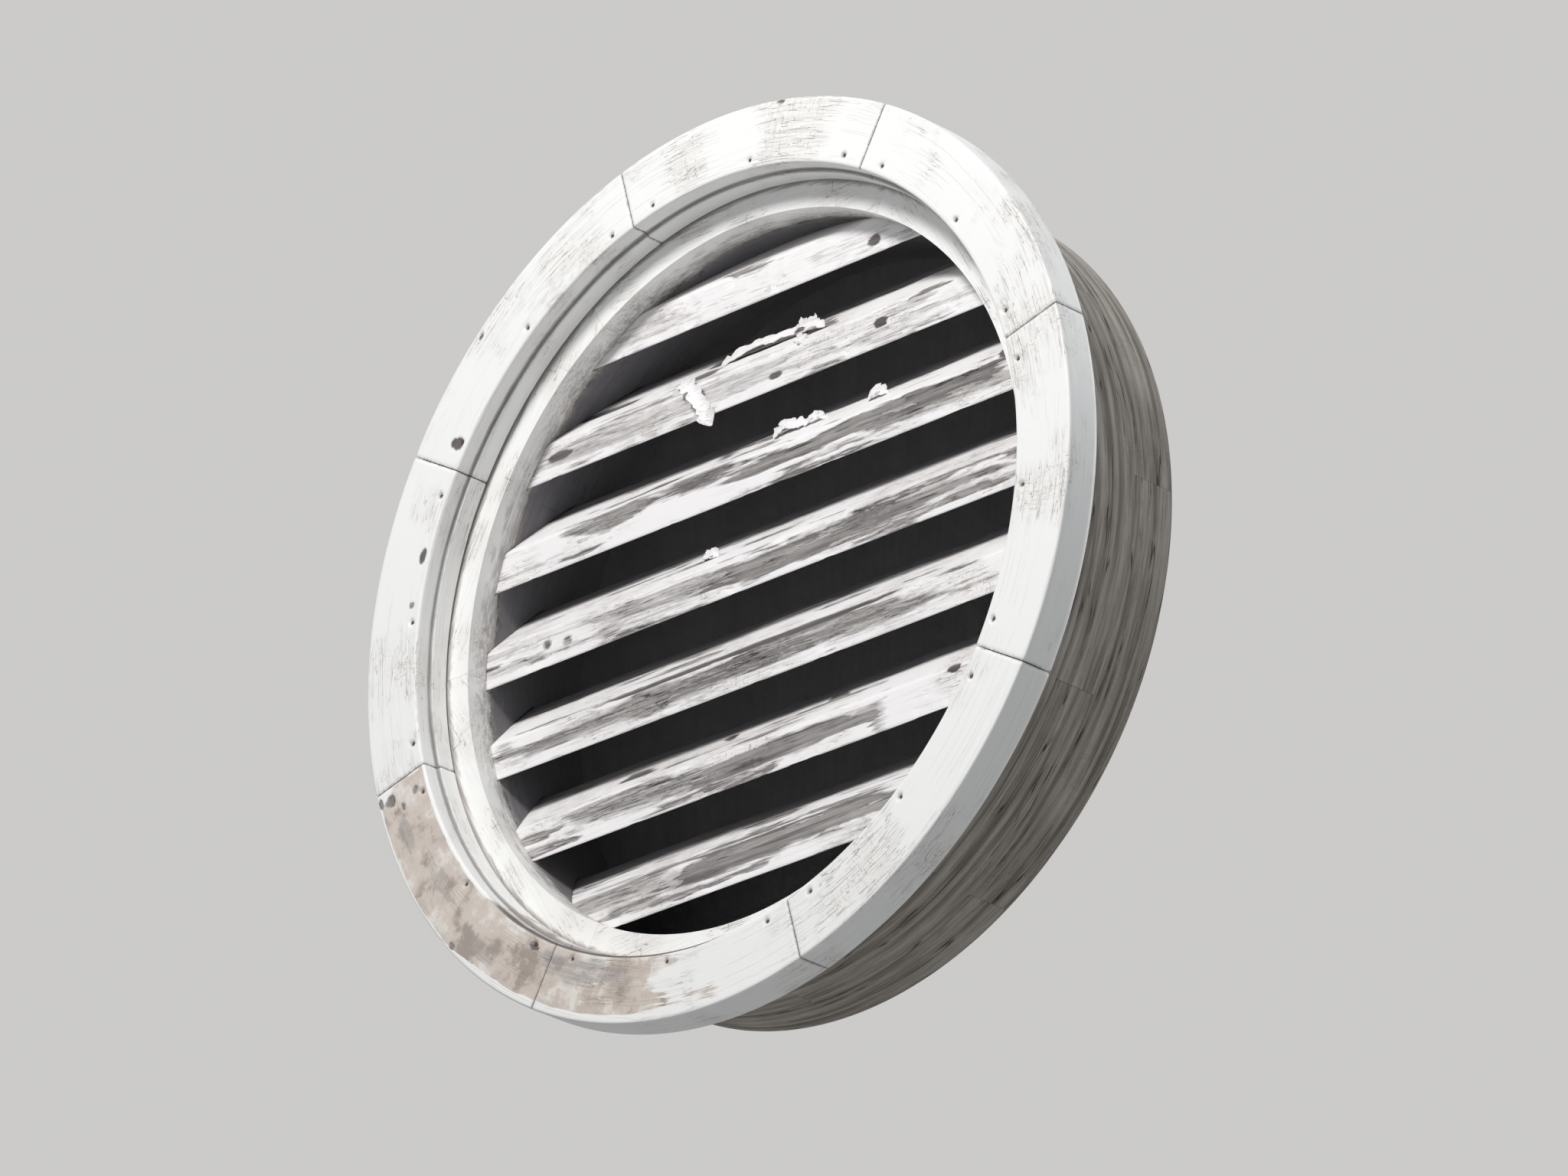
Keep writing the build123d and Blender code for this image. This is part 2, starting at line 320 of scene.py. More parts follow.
class Nodes:
    """Short ways to add and join nodes in one node tree."""

    def __init__(self, tree):
        self.tree = tree

    def add(self, kind, links=None, **settings):
        """A new node of this kind with its settings, and its inputs joined or set."""
        node = self.tree.nodes.new(kind)
        for key, value in settings.items():
            setattr(node, key, value)
        for key, value in (links or {}).items():
            self.put(node.inputs[key], value)
        return node

    def placed(self, group, links):
        """A node group placed in the tree, with its inputs joined or set."""
        return self.add("ShaderNodeGroup", links, node_tree=group)

    def put(self, socket, value):
        """Joins a socket to another one, or sets its value."""
        if isinstance(value, bpy.types.NodeSocket):
            self.tree.links.new(value, socket)
        else:
            socket.default_value = value

    def math(self, operation, first, second=0.5):
        """The result of one sum on two numbers."""
        return self.add("ShaderNodeMath", {0: first, 1: second}, operation=operation).outputs[0]

    def mix(self, share, first, second, blend="MIX"):
        """Two colours blended by a share."""
        links = {0: share, 6: first, 7: second}
        return self.add("ShaderNodeMix", links, data_type="RGBA", blend_type=blend).outputs[2]

    def stretch(self, vector, scale):
        """The vector with its three parts scaled, which stretches a pattern along the smallest."""
        return self.add("ShaderNodeMapping", {"Vector": vector, "Scale": scale}).outputs[0]

    def turned(self, vector, angle):
        """The vector turned about the window's axis."""
        return self.add("ShaderNodeMapping", {"Vector": vector, "Rotation": (0, angle, 0)}).outputs[0]

    def noise(self, vector, scale, detail=4.0, roughness=0.55, distortion=0.0):
        """Soft noise around 0.5, so many cells to the metre."""
        links = {
            "Vector": vector,
            "Scale": scale,
            "Detail": detail,
            "Roughness": roughness,
            "Distortion": distortion,
        }
        return self.add("ShaderNodeTexNoise", links).outputs[0]

    def drawn_noise(self, vector, cells, detail, roughness=0.55, distortion=0.0):
        """Soft noise with its own number of cells to the metre along each part of the vector."""
        return self.noise(self.stretch(vector, cells), 1.0, detail, roughness, distortion)

    def swing(self, noise, strength):
        """How far a noise is from its middle, times a strength."""
        return self.math("MULTIPLY", self.math("SUBTRACT", noise, 0.5), strength)

    def hair_lines(self, noise, wide, narrow):
        """Thin lines where a noise passes its middle, which fade between these distances from it."""
        return self.rise(self.math("ABSOLUTE", self.math("SUBTRACT", noise, 0.5)), wide, narrow)

    def rise(self, value, start, end):
        """A smooth rise of a value from 0 at the start to 1 at the end."""
        links = {"Value": value, "From Min": start, "From Max": end, "To Min": 0.0, "To Max": 1.0}
        return self.add("ShaderNodeMapRange", links, interpolation_type="SMOOTHSTEP").outputs[0]


def colour(red, green, blue):
    """A linear colour from eight-bit screen values."""
    screen = np.array([red, green, blue]) / 255
    return (*np.where(screen <= 0.04045, screen / 12.92, ((screen + 0.055) / 1.055) ** 2.4), 1.0)


def make_bare_wood():
    """Weathered wood with its grain along the vector's x: pale ridges, dark open pores and long checks."""
    group = new_group("bare_wood", (
        ("Vector", "NodeSocketVector", None),
        ("Pale", "NodeSocketColor", colour(168, 160, 150)),
        ("Dark", "NodeSocketColor", colour(92, 84, 76)),
    ), (("Color", "NodeSocketColor"), ("Height", "NodeSocketFloat")))
    nodes = Nodes(group)
    given = nodes.add("NodeGroupInput").outputs
    long_grain = nodes.drawn_noise(given["Vector"], (8, 170, 170), 6.0, 0.62, 0.35)
    fine_grain = nodes.drawn_noise(given["Vector"], (36, 900, 900), 4.0, 0.6)
    patches = nodes.noise(given["Vector"], 22.0, 3.0)
    check_noise = nodes.drawn_noise(given["Vector"], (4, 110, 110), 3.0, 0.5, 0.15)
    checks = nodes.hair_lines(check_noise, 0.016, 0.004)
    checks = nodes.math("MULTIPLY", checks, nodes.rise(patches, 0.38, 0.55))
    long_share = nodes.math("MULTIPLY", long_grain, 0.75)
    tone = nodes.math("ADD", long_share, nodes.math("MULTIPLY", fine_grain, 0.25))
    wood = nodes.mix(nodes.rise(tone, 0.32, 0.70), given["Dark"], given["Pale"])
    wood = nodes.mix(nodes.math("MULTIPLY", patches, 0.35), wood, colour(150, 141, 136), "MULTIPLY")
    wood = nodes.mix(nodes.math("MULTIPLY", checks, 0.85), wood, colour(38, 33, 30))
    height = nodes.math("SUBTRACT", tone, nodes.math("MULTIPLY", checks, 0.8))
    nodes.add("NodeGroupOutput", {"Color": wood, "Height": height})
    return group


def make_worn_paint(bare_wood):
    """White paint over weathered wood.

    Bare is where it has gone, Dirt where it is grey and mottled, and Stain where a beige coat shows.
    Shade is painted shade, darkening the wood behind the paint where the louvre lies in shadow, and Hollow
    is a darker painted shade in chips, holes and gaps.
    """
    group = new_group("worn_paint", (
        ("Vector", "NodeSocketVector", None),
        ("Bare", "NodeSocketFloat", 0.0),
        ("Dirt", "NodeSocketFloat", 0.0),
        ("Stain", "NodeSocketFloat", 0.0),
        ("Shade", "NodeSocketFloat", 0.0),
        ("Hollow_Shade", "NodeSocketFloat", 0.0),
        ("Paint", "NodeSocketColor", colour(246, 243, 236)),
        ("Pale Wood", "NodeSocketColor", colour(186, 182, 180)),
        ("Dark Wood", "NodeSocketColor", colour(105, 101, 100)),
    ), (("Color", "NodeSocketColor"), ("Roughness", "NodeSocketFloat"), ("Height", "NodeSocketFloat")))
    nodes = Nodes(group)
    given = nodes.add("NodeGroupInput").outputs
    links = {"Vector": given["Vector"], "Pale": given["Pale Wood"], "Dark": given["Dark Wood"]}
    wood = nodes.placed(bare_wood, links)
    ragged = nodes.drawn_noise(given["Vector"], (26, 420, 420), 6.0, 0.70, 0.3)
    fine = nodes.drawn_noise(given["Vector"], (60, 1500, 1500), 4.0, 0.65)
    broad = nodes.noise(given["Vector"], 16.0, 3.0)

    # Where the paint has gone, with edges that break along the grain
    edge = nodes.math("ADD", nodes.swing(ragged, 1.1), nodes.swing(fine, 0.75))
    gone = nodes.math("ADD", given["Bare"], edge)
    bare = nodes.rise(gone, 0.62, 0.645)
    first = nodes.math("MULTIPLY", nodes.rise(gone, 0.30, 0.36), 0.45)
    second = nodes.math("MULTIPLY", nodes.rise(gone, 0.42, 0.58), 0.45)
    thin = nodes.math("MULTIPLY", nodes.math("ADD", first, second), nodes.math("SUBTRACT", 1.0, bare))

    # Hair cracks along the grain, and a few across it
    along_noise = nodes.drawn_noise(given["Vector"], (16, 300, 300), 2.0, 0.5, 1.2)
    cracks = nodes.hair_lines(along_noise, 0.010, 0.002)
    cracks = nodes.math("MULTIPLY", cracks, nodes.rise(broad, 0.47, 0.6))
    across_noise = nodes.drawn_noise(given["Vector"], (300, 40, 40), 1.0, 0.5, 1.5)
    across = nodes.hair_lines(across_noise, 0.006, 0.001)
    across = nodes.math("MULTIPLY", across, nodes.rise(broad, 0.56, 0.66))
    cracks = nodes.math("MAXIMUM", cracks, across)

    # Dirt lies in streaks along the grain, and in mottles where there is much of it
    streaks = nodes.drawn_noise(given["Vector"], (12, 380, 380), 4.0, 0.6, 0.5)
    dirty = nodes.math("ADD", given["Dirt"], nodes.swing(streaks, 1.3))
    dirty = nodes.math("MULTIPLY", nodes.rise(dirty, 0.22, 1.0), 0.85)
    cream = nodes.math("MULTIPLY", nodes.rise(broad, 0.42, 0.72), 0.4)
    mottled = nodes.drawn_noise(given["Vector"], (60, 150, 150), 5.0, 0.65, 0.4)
    mottled = nodes.math("MULTIPLY", nodes.rise(mottled, 0.50, 0.64), nodes.rise(given["Dirt"], 0.04, 0.4))

    # The coats, from the white one down to the wood
    paint = nodes.mix(cream, given["Paint"], colour(238, 233, 228))
    worn_through = nodes.math("ADD", given["Stain"], nodes.swing(ragged, 1.3))
    blotches = nodes.noise(given["Vector"], 30.0, 6.0, 0.66)
    stained = nodes.mix(nodes.rise(broad, 0.35, 0.65), colour(213, 202, 192), colour(198, 185, 174))
    stained = nodes.mix(nodes.rise(blotches, 0.50, 0.62), stained, colour(233, 228, 221))
    stained = nodes.mix(nodes.rise(blotches, 0.48, 0.36), stained, colour(167, 155, 145))
    paint = nodes.mix(nodes.rise(worn_through, 0.40, 0.50), paint, stained)
    paint = nodes.mix(dirty, paint, colour(158, 153, 151))
    paint = nodes.mix(nodes.math("MULTIPLY", mottled, 0.5), paint, colour(172, 167, 162))
    grained = nodes.mix(0.55, colour(205, 201, 199), wood.outputs["Color"])
    paint = nodes.mix(thin, paint, grained)
    paint = nodes.mix(nodes.math("MULTIPLY", cracks, 0.65), paint, colour(96, 88, 78))
    surface = nodes.mix(bare, paint, wood.outputs["Color"])
    # Painted shade: the dark grey stands for the shadow deep in the louvre, and the darker colour for the
    # shade in chips, holes and gaps
    surface = nodes.mix(given["Shade"], surface, colour(113, 112, 117))
    surface = nodes.mix(given["Hollow_Shade"], surface, colour(82, 77, 76))

    height = nodes.math("SUBTRACT", 1.0, bare)
    height = nodes.math("SUBTRACT", height, nodes.math("MULTIPLY", cracks, 0.6))
    height = nodes.math("ADD", height, nodes.math("MULTIPLY", wood.outputs["Height"], 0.5))
    rough = nodes.math("ADD", 0.52, nodes.math("MULTIPLY", bare, 0.33))
    rough = nodes.math("ADD", rough, nodes.math("MULTIPLY", dirty, 0.12))
    nodes.add("NodeGroupOutput", {"Color": surface, "Roughness": rough, "Height": height})
    return group


def new_material(name):
    """A new material, with its nodes and its shader."""
    material = bpy.data.materials.new(name)
    material.use_nodes = True
    nodes = Nodes(material.node_tree)
    shader = material.node_tree.nodes["Principled BSDF"]
    return material, nodes, shader


def object_place(nodes):
    """The place on the piece, in metres."""
    return nodes.add("ShaderNodeTexCoord").outputs["Object"]


def attribute(nodes, name):
    """A number that comes with the mesh, by its name."""
    return nodes.add("ShaderNodeAttribute", {}, attribute_name=name).outputs["Fac"]


def bump(nodes, height, distance):
    """A normal from a height, where the height's 1 stands for the distance in metres."""
    return nodes.add("ShaderNodeBump", {"Height": height, "Distance": distance}).outputs[0]


def join_worn(nodes, shader, worn):
    """Joins worn paint's colour, roughness and relief to a shader."""
    nodes.put(shader.inputs["Base Color"], worn.outputs["Color"])
    nodes.put(shader.inputs["Roughness"], worn.outputs["Roughness"])
    nodes.put(shader.inputs["Normal"], bump(nodes, worn.outputs["Height"], PAINT_RELIEF))


def painted_material(name, worn_paint, vector_of, paint):
    """Worn paint whose bareness, dirt, stain, shade and hollows come with the mesh."""
    material, nodes, shader = new_material(name)
    links = {"Vector": vector_of(nodes), "Paint": paint}
    for label in ("Bare", "Dirt", "Stain", "Shade", "Hollow_Shade"):
        links[label] = attribute(nodes, label.lower())
    join_worn(nodes, shader, nodes.placed(worn_paint, links))
    return material


def radius_of(nodes):
    """The distance from the window's axis."""
    apart = nodes.add("ShaderNodeSeparateXYZ", {0: object_place(nodes)}).outputs
    across = nodes.add("ShaderNodeCombineXYZ", {0: apart["X"], 2: apart["Z"]}).outputs[0]
    return nodes.add("ShaderNodeVectorMath", {0: across}, operation="LENGTH").outputs["Value"]


def curved_vector(nodes):
    """Object coordinates unrolled round the casing as arc, depth and radius, with the seam on a joint."""
    turned = nodes.turned(object_place(nodes), CASING_FIRST_JOINT)
    apart = nodes.add("ShaderNodeSeparateXYZ", {0: turned}).outputs
    along = nodes.math("MULTIPLY", nodes.math("ARCTAN2", apart["Z"], apart["X"]), GRAIN_RADIUS)
    links = {0: along, 1: apart["Y"], 2: radius_of(nodes)}
    return nodes.add("ShaderNodeCombineXYZ", links).outputs[0]


def ring_material(worn_paint, grain_angle, name):
    """The ring's sectors: a painted front band, and bare wood behind it."""
    material, nodes, shader = new_material(name)
    place = object_place(nodes)
    turned = nodes.turned(place, grain_angle)
    chord = nodes.add("ShaderNodeSeparateXYZ", {0: turned}).outputs
    radius = radius_of(nodes)

    # On the outside the grain is unrolled round the rim, elsewhere it runs along the sector's chord
    arc = nodes.math("ARCTAN2", chord["X"], nodes.math("MULTIPLY", chord["Z"], -1.0))
    along = nodes.math("MULTIPLY", arc, RING_OUTER)
    unrolled = nodes.add("ShaderNodeCombineXYZ", {0: along, 1: chord["Y"], 2: radius}).outputs[0]
    rim = nodes.rise(radius, RING_OUTER - 1.4 * MM, RING_OUTER - 0.8 * MM)
    links = {"Factor": rim, 4: turned, 5: unrolled}
    grain = nodes.add("ShaderNodeMix", links, data_type="VECTOR").outputs[1]

    # The paint ends at an uneven line behind the front, the face greys with depth, and dirt and painted
    # shade lie in the corner under the casing
    outside = nodes.rise(radius, CASING_INNER - 2 * MM, CASING_INNER + 6 * MM)
    depth = nodes.math("ADD", chord["Y"], nodes.math("MULTIPLY", outside, 20 * MM))
    uneven = nodes.noise(place, 60.0, 4.0)
    depth = nodes.math("ADD", depth, nodes.swing(uneven, 10 * MM))
    corner = nodes.rise(radius, CASING_INNER - 9 * MM, CASING_INNER - 2.5 * MM)
    corner = nodes.math("MULTIPLY", corner, 0.9)
    dirt = nodes.math("MAXIMUM", nodes.math("MULTIPLY", nodes.rise(depth, -2 * MM, 22 * MM), 0.7), corner)
    # Painted shade darkens the inner face behind the slats' front, for the shadow inside the louvre
    inside = nodes.math("MULTIPLY", nodes.math("SUBTRACT", 1.0, outside), 0.9)
    links = {
        "Vector": grain,
        "Bare": nodes.rise(depth, 14 * MM, 30 * MM),
        "Dirt": dirt,
        "Shade": nodes.math("MULTIPLY", nodes.rise(depth, 19 * MM, 30 * MM), inside),
        "Paint": colour(247, 247, 245),
        "Pale Wood": colour(198, 192, 183),
        "Dark Wood": colour(124, 117, 108),
    }
    join_worn(nodes, shader, nodes.placed(worn_paint, links))
    return material


def stop_material(bare_wood, grain_angle, name):
    """The screen's stops: bare wood that has kept some of its brown."""
    material, nodes, shader = new_material(name)
    turned = nodes.turned(object_place(nodes), grain_angle)
    links = {"Vector": turned, "Pale": colour(176, 148, 112), "Dark": colour(112, 86, 60)}
    wood = nodes.placed(bare_wood, links)
    nodes.put(shader.inputs["Base Color"], wood.outputs["Color"])
    nodes.put(shader.inputs["Normal"], bump(nodes, wood.outputs["Height"], 0.3 * MM))
    shader.inputs["Roughness"].default_value = 0.78
    return material


def screen_material():
    """Dark close mesh: wires that go over and under each other with painted shade between them, paler from
    dust and painted light on the weather side.
    """
    material, nodes, shader = new_material("dark_mesh_cloth")
    apart = nodes.add("ShaderNodeSeparateXYZ", {0: object_place(nodes)}).outputs
    turns = 2 * pi / WIRE_SPACING
    waves = [nodes.math("SINE", nodes.math("MULTIPLY", apart[axis], turns)) for axis in "XZ"]
    crossing = nodes.math("MULTIPLY", waves[0], waves[1])
    wires = nodes.math("MAXIMUM", nodes.math("ABSOLUTE", waves[0]), nodes.math("ABSOLUTE", waves[1]))
    height = nodes.math("ADD", nodes.math("MULTIPLY", wires, 0.6), nodes.math("MULTIPLY", crossing, 0.4))
    streaks = nodes.drawn_noise(object_place(nodes), (30, 30, 7), 7.0, 0.7)
    dust = nodes.math("MULTIPLY", nodes.rise(streaks, 0.38, 0.72), 0.6)
    crowns = nodes.rise(wires, 0.70, 0.97)
    clean_wire = nodes.mix(dust, colour(118, 118, 120), colour(142, 138, 132))
    dusty_and_lit_wire = nodes.mix(dust, colour(160, 159, 163), colour(184, 180, 178))
    # Painted shade between the wires, for the dark seen through the mesh; the weather side's paler colours
    # are dust and painted light
    clean = nodes.mix(crowns, colour(60, 60, 64), clean_wire)
    dusty_and_lit = nodes.mix(crowns, colour(86, 85, 90), dusty_and_lit_wire)
    nodes.put(shader.inputs["Base Color"], nodes.mix(attribute(nodes, "dusty_lit_side"), clean, dusty_and_lit))
    nodes.put(shader.inputs["Normal"], bump(nodes, height, 0.25 * MM))
    shader.inputs["Roughness"].default_value = 0.6
    shader.inputs["Metallic"].default_value = 0.25
    return material


def nail_material():
    """Dull nail steel with rust in patches."""
    material, nodes, shader = new_material("rusting_nail")
    rust = nodes.rise(nodes.noise(object_place(nodes), 700.0, 5.0), 0.36, 0.6)
    grain = nodes.noise(object_place(nodes), 3000.0, 3.0)
    worn = nodes.mix(grain, colour(112, 62, 38), colour(64, 40, 30))
    nodes.put(shader.inputs["Base Color"], nodes.mix(rust, colour(98, 94, 92), worn))
    nodes.put(shader.inputs["Metallic"], nodes.math("SUBTRACT", 0.8, nodes.math("MULTIPLY", rust, 0.7)))
    nodes.put(shader.inputs["Roughness"], nodes.math("ADD", 0.45, nodes.math("MULTIPLY", rust, 0.4)))
    nodes.put(shader.inputs["Normal"], bump(nodes, grain, 0.15 * MM))
    return material


def shown_rays(nodes):
    """1 where the surround is seen, directly, mirrored or through glass, and 0 where it gives light."""
    rays = nodes.add("ShaderNodeLightPath").outputs
    mirrored = nodes.math("MAXIMUM", rays["Is Glossy Ray"], rays["Is Transmission Ray"])
    return nodes.math("MAXIMUM", rays["Is Camera Ray"], mirrored)


def floor_material():
    """A plain floor, faintly mottled like a painted screed, that shows as pale as the surround."""
    material, nodes, shader = new_material("pale_floor")
    mottling = nodes.noise(object_place(nodes), 1.2, 6.0)
    pale = nodes.mix(mottling, colour(216, 215, 213), colour(222, 221, 219))
    nodes.put(shader.inputs["Base Color"], pale)
    nodes.put(shader.inputs["Emission Color"], nodes.mix(shown_rays(nodes), (0.0, 0.0, 0.0, 1.0), pale))
    shader.inputs["Emission Strength"].default_value = 0.45
    shader.inputs["Roughness"].default_value = 0.8
    return material


def slat_outline(height):
    """A slat's section as points (depth, height), fine over the nosing and the front of the slope."""
    run, rise = SLAT_WIDTH * cos(SLAT_SLOPE), SLAT_WIDTH * sin(SLAT_SLOPE)
    back, up = SLAT_THICKNESS * sin(SLAT_SLOPE), SLAT_THICKNESS * cos(SLAT_SLOPE)
    top = height + SLAT_THICKNESS / cos(SLAT_SLOPE)
    strip = PAINTED_DEPTH + 6 * MM
    under = 12 * MM
    corners = [
        (SLAT_SETBACK, top),
        (SLAT_SETBACK + strip, top + strip),
        (SLAT_SETBACK + run - back, height + rise + up),
        (SLAT_SETBACK + run, height + rise),
        (SLAT_SETBACK + under, height + under),
        (SLAT_SETBACK, height),
    ]
    spacings = (1.5 * MM, 5 * MM, 5 * MM, 7 * MM, 2 * MM, 1.2 * MM)
    outline = softened(traced(corners, spacings), 2)
    outline[:, 1] = np.clip(outline[:, 1], -SLAT_END_RADIUS + 0.2 * MM, SLAT_END_RADIUS - 0.2 * MM)
    return outline


def make_slat(row, material):
    """A slat: its section is carried along x, and each point of it ends on the cylinder that cuts all slats.

    The surface is the sawn one less the wear: the paint's thickness where it has gone, and the raised grain.
    """
    height = TOP_SLAT - row * SLAT_PITCH
    outline = slat_outline(height)
    into = inward(outline)
    share = np.linspace(-1, 1, SLAT_STEPS)[:, None]
    half_length = np.sqrt(SLAT_END_RADIUS ** 2 - outline[:, 1] ** 2)[None, :]
    across = share * half_length
    deep = np.broadcast_to(outline[:, 0] - SLAT_SETBACK, across.shape)
    level = np.broadcast_to(outline[:, 1], across.shape)
    place = np.stack([across, deep, level], axis=-1)
    upper = height + SLAT_THICKNESS / cos(SLAT_SLOPE)

    # Where each point shows on the plane of the slats' front edges, and the marks that are there
    seen_x = (across + SEEN_RIGHT * deep) / MM
    seen_z = np.where(level >= upper - 0.5 * MM, upper + SEEN_UP * deep, level) / MM
    is_under = ramp(deep - (level - height), -2 * MM, 2 * MM) * ramp(deep, 0.5 * MM, 3 * MM)

    wobble = (rough_noise(place * (20, 200, 200), SLAT_SEEDS["wobble"] + row) - 0.5) * 1.9
    bare, dirt, hollow_shade = mark_field(seen_x, seen_z, SLAT_MARKS[row], wobble)
    bare *= 1 - 0.9 * is_under

    # The wear between the marks: an uneven end of the paint on the slope, streaks on the nosing and patches
    broad = rough_noise(place * (11, 60, 60), SLAT_SEEDS["broad"] + row)
    behind = deep + (broad - 0.5) * 14 * MM + wobble * 3 * MM
    edge_gone = ramp(behind, PAINTED_DEPTH - 5 * MM, PAINTED_DEPTH + 3 * MM)
    bare = np.maximum(bare, edge_gone)
    nosing = ramp(level - height, 4 * MM, 12 * MM) * ramp(upper - level, 1 * MM, 8 * MM)
    streak = rough_noise(place * (9, 120, 120), SLAT_SEEDS["streaks"] + row)
    patches = rough_noise(place * (14, 140, 140), SLAT_SEEDS["patches"] + row)
    whole = ramp(seen_x + wobble * 12, SLAT_WHOLE_FROM[row] - 10, SLAT_WHOLE_FROM[row] + 10)
    wear = SLAT_WEAR[row] * (1 - 0.8 * whole)
    bare = np.maximum(bare, 0.52 * wear * nosing * ramp(streak, 0.36, 0.62))
    bare = np.maximum(bare, 0.64 * wear * ramp(patches, 0.58, 0.70) * (1 - is_under))
    general_dirt = 0.36 * ramp(broad, 0.36, 0.76) + 0.3 * nosing * ramp(streak, 0.35, 0.7)
    dirt = np.maximum(dirt, wear * general_dirt)
    # Behind the paint's end the slope greys, and painted shade darkens it and the slat's underside, for the
    # shadow between the slats
    dirt = np.maximum(dirt, ramp(behind, PAINTED_DEPTH - 6 * MM, PAINTED_DEPTH + 1 * MM))
    shade = 0.93 * ramp(behind, PAINTED_DEPTH - 4 * MM, PAINTED_DEPTH + 9 * MM)
    shade = np.maximum(shade, 0.75 * is_under * ramp(deep, 6 * MM, 22 * MM))

    # How deep the wear goes, and the slat's slight bow
    grain = rough_noise(place * (18, 260, 260), SLAT_SEEDS["grain"] + row, 3)
    gone = ramp(bare + wobble * 0.35, 0.55, 0.75)
    depth = gone * PAINT_THICKNESS + (grain - 0.5) * gone * 0.5 * MM + grain * 0.12 * MM
    dents = ramp(rough_noise(place * 45, SLAT_SEEDS["dents"] + row), 0.62, 0.8)
    depth += dents * 0.8 * MM * ramp(deep, 4 * MM, 0.5 * MM)
    bow = (1 - share ** 2) * 0.5 * MM * sin(row * 2.4 + 1.0)

    points = np.stack([
        across,
        outline[None, :, 0] + into[None, :, 0] * depth,
        outline[None, :, 1] + into[None, :, 1] * depth + bow,
    ], axis=-1)
    stain = np.zeros(bare.shape)
    fields = {"bare": bare, "dirt": dirt, "stain": stain, "shade": shade, "hollow_shade": hollow_shade}
    slat = swept_piece(f"worn_slat_{row + 1}", points, fields, material)
    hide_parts(f"slat_{row + 1}")


def casing_outline():
    """The casing's section as points (radius, depth), fine over its face."""
    back, face = 0.0, -CASING_THICKNESS
    step = CASING_STEP_HEIGHT - CASING_THICKNESS
    ease = 1.2 * MM
    corners = [
        (CASING_OUTER, face + ease),
        (CASING_OUTER - ease, face),
        (CASING_INNER + ease, face),
        (CASING_INNER, face + ease),
        (CASING_INNER, step),
        (CASING_INNER - CASING_STEP_WIDTH, step),
        (CASING_INNER - CASING_STEP_WIDTH, back),
        (CASING_OUTER, back),
    ]
    spacings = (1 * MM, 1.5 * MM, 1 * MM, 1.6 * MM, 1.5 * MM, 2 * MM, 8 * MM, 3 * MM)
    return traced(corners, spacings)


